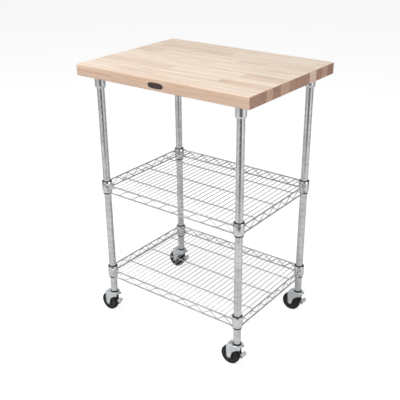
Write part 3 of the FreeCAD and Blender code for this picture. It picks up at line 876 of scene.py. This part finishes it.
def makeInsert(corner):
    node = "caster_" + corner + "_insert"
    low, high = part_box(node)
    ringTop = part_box("post_" + corner)[0].z
    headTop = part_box("caster_" + corner + "_swivel_head")[1].z
    outer = (high.x - low.x) / 2
    outline = [
        (0, high.z), (9.4 * mm, high.z), (11.4 * mm, high.z - 2 * mm), (11.4 * mm, ringTop),
        (13.6 * mm, ringTop), (14.3 * mm, ringTop - 0.3 * mm), (outer, ringTop - 1.3 * mm),
        (14.6 * mm, ringTop - 2.8 * mm), (13.9 * mm, headTop + 0.8 * mm), (13.2 * mm, headTop + 0.3 * mm),
        (5 * mm, headTop + 0.3 * mm), (5 * mm, low.z + 2.5 * mm), (7.6 * mm, low.z + 2.5 * mm),
        (8 * mm, low.z + 2.1 * mm), (8 * mm, low.z + 0.5 * mm), (7.5 * mm, low.z), (0, low.z),
    ]
    bm = bmesh.new()
    addLathe(bm, outline, casterOrigin(corner), steps=48)
    finishPiece("post_plug_" + corner, bm, blackPlastic, "cart", [node])


def makeSwivelHead(corner):
    node = "caster_" + corner + "_swivel_head"
    low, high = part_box(node)
    big = (high.x - low.x) / 2
    bore = 5.05 * mm
    outline = [
        (bore, high.z - 0.5 * mm), (12.6 * mm, high.z - 0.5 * mm), (13.6 * mm, high.z - 0.1 * mm),
        (15.2 * mm, high.z), (big - 3.0 * mm, high.z), (big - 1.5 * mm, high.z - 0.3 * mm),
        (big - 0.5 * mm, high.z - 1.0 * mm), (big, high.z - 2.1 * mm), (big, high.z - 2.7 * mm),
        (big - 0.5 * mm, high.z - 2.95 * mm), (big - 0.5 * mm, high.z - 3.2 * mm), (big, high.z - 3.4 * mm),
        (big - 0.05 * mm, low.z + 0.5 * mm), (big - 0.5 * mm, low.z), (bore, low.z),
    ]
    bm = bmesh.new()
    addLathe(bm, outline, casterOrigin(corner), steps=56)
    finishPiece("race_" + corner, bm, zincPlate, "caster_" + corner + "_swivel", [node])


# lower edge of the fork leg, in millimetres from the stem and the floor
legEdge = ((-16.0, 35.0), (-12.8, 48.6), (-5.2, 60.0), (7.2, 68.0), (20.6, 73.5))


def legBottom(x):  # height of that edge at x
    look = casterLook
    end = look["legEnd"]
    aside = x + look["trail"]
    if aside < -end:
        slope = (look["legShoulder"] - look["axleHeight"]) / (look["legBack"] - look["trail"] - end)
        return look["axleHeight"] - (aside + end) * slope
    if x <= legEdge[0][0]:
        return look["axleHeight"] - math.sqrt(max(end ** 2 - aside ** 2, 0))
    for (x0, z0), (x1, z1) in zip(legEdge, legEdge[1:]):
        if x <= x1:
            return z0 + (z1 - z0) * (x - x0) / (x1 - x0)
    return legEdge[-1][1]


def makeFork(corner):
    look = casterLook
    node = "caster_" + corner + "_fork"
    origin = casterOrigin(corner)
    low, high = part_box(node)
    outerY = (high.y - low.y) / 2
    top = high.z
    sheet = look["sheet"] * mm
    fold = look["foldRadius"] * mm
    stations = [-look["legBack"], -34.2, -33.5]
    stations += [-look["trail"] - look["legEnd"] * math.cos(math.radians(a)) for a in range(0, 181, 12)]
    stations += [-15.2, -14.4, -13.6, -12.8, -11.4, -9.6, -7.4, -5.2, -3.0, 0.0, 3.5, 7.2, 12.0, 16.0]
    stations += [19.0, 20.6]

    def section(x, inset, sink):
        half = outerY - inset
        crown = top - sink
        backStart, backRun, backDrop = look["backRoll"]
        frontStart, frontRun, frontDrop = look["frontRoll"]
        if x < backStart:
            crown -= ((backStart - x) / backRun) ** 2 * backDrop * mm
        if x > frontStart:
            crown -= ((x - frontStart) / frontRun) ** 2 * frontDrop * mm
        bend = max(fold - inset, 0.4 * mm)
        base = min(legBottom(x) * mm, crown - bend - 0.5 * mm)
        points = [(-half, base), (-half, (base + crown - bend) / 2)]
        for k in range(6):
            angle = math.radians(180 - 18 * k)
            points.append((-half + bend + bend * math.cos(angle), crown - bend + bend * math.sin(angle)))
        points.append((0, crown))
        for k in range(6):
            angle = math.radians(90 - 18 * k)
            points.append((half - bend + bend * math.cos(angle), crown - bend + bend * math.sin(angle)))
        points += [(half, (base + crown - bend) / 2), (half, base)]
        return [origin + Vector((x * mm, y, z)) for y, z in points]

    bm = bmesh.new()
    outer = [[bm.verts.new(p) for p in section(x, 0.0, 0.0)] for x in stations]
    inner = [[bm.verts.new(p) for p in section(x, sheet, 2.2 * mm)] for x in stations]
    last = len(outer[0]) - 1
    for k in range(len(stations) - 1):
        for j in range(last):
            bm.faces.new((outer[k][j], outer[k + 1][j], outer[k + 1][j + 1], outer[k][j + 1]))
            bm.faces.new((inner[k][j], inner[k][j + 1], inner[k + 1][j + 1], inner[k + 1][j]))
        for j in (0, last):
            bm.faces.new((outer[k][j], inner[k][j], inner[k + 1][j], outer[k + 1][j]))
    for k in (0, len(stations) - 1):
        for j in range(last):
            bm.faces.new((outer[k][j], outer[k][j + 1], inner[k][j + 1], inner[k][j]))
    half = outerY / mm
    rivet = inMillimetres([(0, -half - 0.9), (2.9, -half - 0.9), (2.9, -half), (2.0, -half), (2.0, half),
                           (2.9, half), (2.9, half + 0.9), (0, half + 0.9)])
    addLathe(bm, softOutline(rivet, 0.3 * mm, 2), pedalPivot(corner), acrossWheel, 20)
    finishPiece("fork_" + corner, bm, zincPlate, "caster_" + corner + "_swivel", [node], 38)


def makeAxle(corner):
    node = "caster_" + corner + "_axle"
    centre = wheelMiddle(corner)
    half = boxSize("caster_" + corner + "_fork").y / 2 / mm
    bm = bmesh.new()
    bolt = [(0, half + 2.4), (2.6, half + 2.35), (4.6, half + 1.9), (5.8, half + 1.1),
            (6.2, half + 0.3), (6.2, half), (4.0, half), (4.0, -half - 3.1), (3.4, -half - 3.4),
            (0, -half - 3.4)]
    addLathe(bm, inMillimetres(bolt), centre, acrossWheel, 32)
    sixths = [math.radians(60 * k) for k in range(6)]
    nut = inMillimetres([(6.6 * math.cos(angle), 6.6 * math.sin(angle)) for angle in sixths])
    addSlab(bm, nut, lambda a, b, h: centre + Vector((a, h, b)), half * mm, (half + 3.0) * mm, 0.45 * mm)
    finishPiece("axle_bolt_" + corner, bm, zincPlate, "caster_" + corner + "_swivel", [node])


def makeTread(corner):
    node = "caster_" + corner + "_tread"
    big = boxSize(node).z / 2 / mm
    half = casterLook["treadWidth"] / 2
    side = [(26.0, half - 1.5), (27.4, half - 0.9), (29.2, half - 0.15), (31.2, half), (32.4, half - 0.35),
            (33.5, half - 1.2), (34.3, half - 2.5), (34.75, half - 4.2), (big, half - 6.6), (big, 0.45),
            (big - 0.12, 0.2)]
    outline = inMillimetres(side + [(r, -z) for r, z in reversed(side)])
    bm = bmesh.new()
    addLathe(bm, outline, wheelMiddle(corner), acrossWheel, 72)
    finishPiece("tyre_" + corner, bm, treadRubber, "caster_" + corner + "_wheel", [node], 30)


def makeHub(corner):
    node = "caster_" + corner + "_hub"
    centre = wheelMiddle(corner)
    half = casterLook["treadWidth"] / 2
    side = [(4.05, 11.8), (7.6, 11.8), (8.2, 11.4), (9.2, 8.4), (10.6, 5.6), (12.4, 4.7), (19.6, 4.2),
            (21.6, 4.9), (22.8, 7.4), (23.4, half - 1.7), (24.0, half - 1.3), (25.98, half - 1.5)]
    outline = inMillimetres(side + [(r, -z) for r, z in reversed(side)])
    bm = bmesh.new()
    addLathe(bm, outline, centre, acrossWheel, 64)
    for rib in range(casterLook["ribs"]):
        angle = 2 * math.pi * rib / casterLook["ribs"]
        way = Vector((math.cos(angle), 0, math.sin(angle)))
        aside = Vector((-way.z, 0, way.x))
        for face in (1, -1):
            web = inMillimetres([(9.4, 4.0), (22.6, 4.0), (22.4, 7.0), (10.4, 8.0)])
            addSlab(bm, web, lambda a, b, h: centre + way * a + Vector((0, b * face, 0)) + aside * h,
                    -0.9 * mm, 0.9 * mm, 0.25 * mm, 1)
    finishPiece("wheel_core_" + corner, bm, hubPlastic, "caster_" + corner + "_wheel", [node])


def pedalPlace(corner):
    pivot = pedalPivot(corner)
    return lambda a, b, h: pivot + Vector((a, h, b))


# side view of the brake lever, in millimetres from its pin
leverShape = ((-3.4, -2.1), (-3.0, 1.8), (0.0, 3.4), (3.2, 1.6), (3.6, -2.0), (2.4, -11.6), (3.1, -20.1),
              (6.7, -22.8), (12.1, -32.4), (10.5, -38.1), (8.0, -40.1), (4.7, -30.1), (0.1, -24.1),
              (-0.6, -21.6), (-1.0, -15.6))


def makeBrakeLever(corner):
    node = "caster_" + corner + "_brake_lever"
    outline = softOutline(inMillimetres(leverShape), 1.6 * mm, 3)
    half = casterLook["leverWidth"] / 2 * mm
    bm = bmesh.new()
    addSlab(bm, outline, pedalPlace(corner), -half, half, casterLook["leverEase"] * mm)
    reach = boxSize(node).y / 2 / mm
    barrel = inMillimetres([(2.05, -reach), (4.0, -reach), (4.0, reach), (2.05, reach)])
    addLathe(bm, softOutline(barrel, 0.4 * mm, 2), pedalPivot(corner), acrossWheel, 28)
    body = "caster_" + corner + "_pedal"
    finishPiece("brake_lever_" + corner, bm, blackPlastic, body, [node])


def makeBrakePad(corner):
    node = "caster_" + corner + "_brake_pad"
    half = boxSize(node).y / 2
    shape = [(12.1, -32.4), (6.7, -22.8), (11.9, -14.0)]
    ridges = casterLook["padRidges"]
    for k in range(ridges * 6 + 1):  # grip ridges across the top of the pedal
        depth = 0.4 * (0.5 - 0.5 * math.cos(2 * math.pi * k / 6))
        share = k / (ridges * 6)
        shape.append((13.6 + 6.2 * share, -12.8 - 0.5 * share - depth))
    shape += [(21.0, -13.8), (21.9, -15.0), (22.4, -18.6), (22.2, -20.4), (21.2, -24.4), (20.3, -25.6)]
    bm = bmesh.new()
    addSlab(bm, inMillimetres(shape), pedalPlace(corner), -half, half, 0.5 * mm)
    finishPiece("brake_pad_" + corner, bm, pedalGrey, "caster_" + corner + "_pedal", [node], 40)


for corner in corners:
    makeInsert(corner)
    makeSwivelHead(corner)
    makeFork(corner)
    makeAxle(corner)
    makeTread(corner)
    makeHub(corner)
    makeBrakeLever(corner)
    makeBrakePad(corner)
say("casters")


# floor, light and camera

studioLook = {
    "floor": (0.88, 0.88, 0.88), "floorDark": (0.16, 0.165, 0.17), "shownFloor": (0.45, 0.45, 0.45),
    "floorGlow": 0.78, "darkAt": (1.75, -2.3, 0.0), "darkReach": (0.95, 1.75), "floorReach": 40.0,
    "worldStrength": 0.36, "mirrorStrength": 0.62, "skyLeft": (1.0, 1.0, 1.0),
    "skyRight": (0.34, 0.345, 0.36), "backdrop": 1.0,
}


def makeFloorMaterial():  # white to the eye; the metal also reflects the dark floor in front of the sweep
    look = studioLook
    material, tree, shader, where = newMaterial("paleFloor")
    away = addNode(tree, "ShaderNodeVectorMath", (-850, 0), {"operation": "DISTANCE"},
                   {0: where.outputs["Object"], 1: look["darkAt"]})
    fade = remap(tree, (-700, 0), away.outputs["Value"], *look["darkReach"], 0.0, 1.0)
    base = mixColour(tree, (-500, 0), fade, look["floorDark"], look["floor"])
    rays = addNode(tree, "ShaderNodeLightPath", (-700, 300))
    shown = mixColour(tree, (-300, 0), rays.outputs["Is Camera Ray"], base, look["shownFloor"])
    glow = mixColour(tree, (-300, -200), rays.outputs["Is Camera Ray"], (0.0, 0.0, 0.0), (1.0, 1.0, 1.0))
    tree.links.new(shown, shader.inputs["Base Color"])
    tree.links.new(glow, shader.inputs["Emission Color"])
    shader.inputs["Emission Strength"].default_value = look["floorGlow"]
    shader.inputs["Roughness"].default_value = 0.9
    shader.inputs["Specular IOR Level"].default_value = 0.1
    return material


def makeFloor():
    mesh = bpy.data.meshes.new("studioFloor")
    reach = studioLook["floorReach"]
    spots = [(-reach, -reach, 0), (reach, -reach, 0), (reach, reach, 0), (-reach, reach, 0)]
    mesh.from_pydata(spots, [], [(0, 1, 2, 3)])
    floor = bpy.data.objects.new("studioFloor", mesh)
    scene.collection.objects.link(floor)
    mesh.materials.append(makeFloorMaterial())


def makeWorld():
    look = studioLook
    world = bpy.data.worlds.new("studio")
    world.use_nodes = True
    scene.world = world
    tree = world.node_tree
    back = tree.nodes["Background"]
    where = addNode(tree, "ShaderNodeTexCoord", (-900, 0))
    split = addNode(tree, "ShaderNodeSeparateXYZ", (-700, 0), None, {0: where.outputs["Generated"]})
    fade = remap(tree, (-500, 0), split.outputs[0], -0.2, 0.9, 0.0, 1.0)
    colour = mixColour(tree, (-300, 0), fade, look["skyLeft"], look["skyRight"])
    rays = addNode(tree, "ShaderNodeLightPath", (-700, 300))
    strengths = (look["worldStrength"], look["mirrorStrength"])
    mirror = remap(tree, (-500, 300), rays.outputs["Is Glossy Ray"], 0.0, 1.0, *strengths)
    tree.links.new(colour, back.inputs["Color"])
    tree.links.new(mirror, back.inputs["Strength"])
    plain = addNode(tree, "ShaderNodeBackground", (0, 200), None,
                    {"Color": (1.0, 1.0, 1.0, 1.0), "Strength": look["backdrop"]})
    choose = addNode(tree, "ShaderNodeMixShader", (200, 0), None,
                     {0: rays.outputs["Is Camera Ray"], 1: back.outputs[0], 2: plain.outputs[0]})
    tree.links.new(choose.outputs[0], tree.nodes["World Output"].inputs["Surface"])


lamps = {
    "overhead": {"at": (-0.1, -1.2, 3.6), "aim": (0.0, 0.0, 0.7), "size": 3.2, "power": 88},
    "front": {"at": (-0.7, -4.3, 2.0), "aim": (0.0, 0.0, 0.5), "size": 2.6, "power": 26},
    "rightFill": {"at": (3.4, -0.2, 1.3), "aim": (0.0, 0.0, 0.6), "size": 1.8, "power": 34},
}


def makeLamp(name):
    look = lamps[name]
    data = bpy.data.lights.new(name, "AREA")
    data.shape = "SQUARE"
    data.size = look["size"]
    data.energy = look["power"]
    lamp = bpy.data.objects.new(name, data)
    lamp.location = look["at"]
    aim = Vector(look["aim"]) - lamp.location
    lamp.rotation_euler = aim.to_track_quat("-Z", "Y").to_euler()
    scene.collection.objects.link(lamp)


cameraLook = {"azimuth": 37.12, "elevation": 24.58, "roll": -0.47, "distance": 2.4723, "lens": 61.79,
              "aimAside": -0.0199, "aimDrop": 0.49716}


def makeCamera():
    look = cameraLook
    turn = math.radians(look["azimuth"])
    rise = math.radians(look["elevation"])
    back = Vector((math.sin(turn) * math.cos(rise), -math.cos(turn) * math.cos(rise), math.sin(rise)))
    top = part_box("butcher_block_top")[1].z
    aside = look["aimAside"]
    aim = Vector((aside * math.cos(turn), aside * math.sin(turn), top - look["aimDrop"]))
    data = bpy.data.cameras.new("camera")
    data.lens = look["lens"]
    data.sensor_width = 36.0
    camera = bpy.data.objects.new("camera", data)
    camera.location = aim + back * look["distance"]
    facing = (-back).to_track_quat("-Z", "Y")
    camera.rotation_mode = "QUATERNION"
    camera.rotation_quaternion = facing @ Matrix.Rotation(math.radians(look["roll"]), 3, "Z").to_quaternion()
    scene.collection.objects.link(camera)
    scene.camera = camera


makeFloor()
makeWorld()
for name in lamps:
    makeLamp(name)
makeCamera()
scene.view_settings.view_transform = "Standard"
say("stage ready")
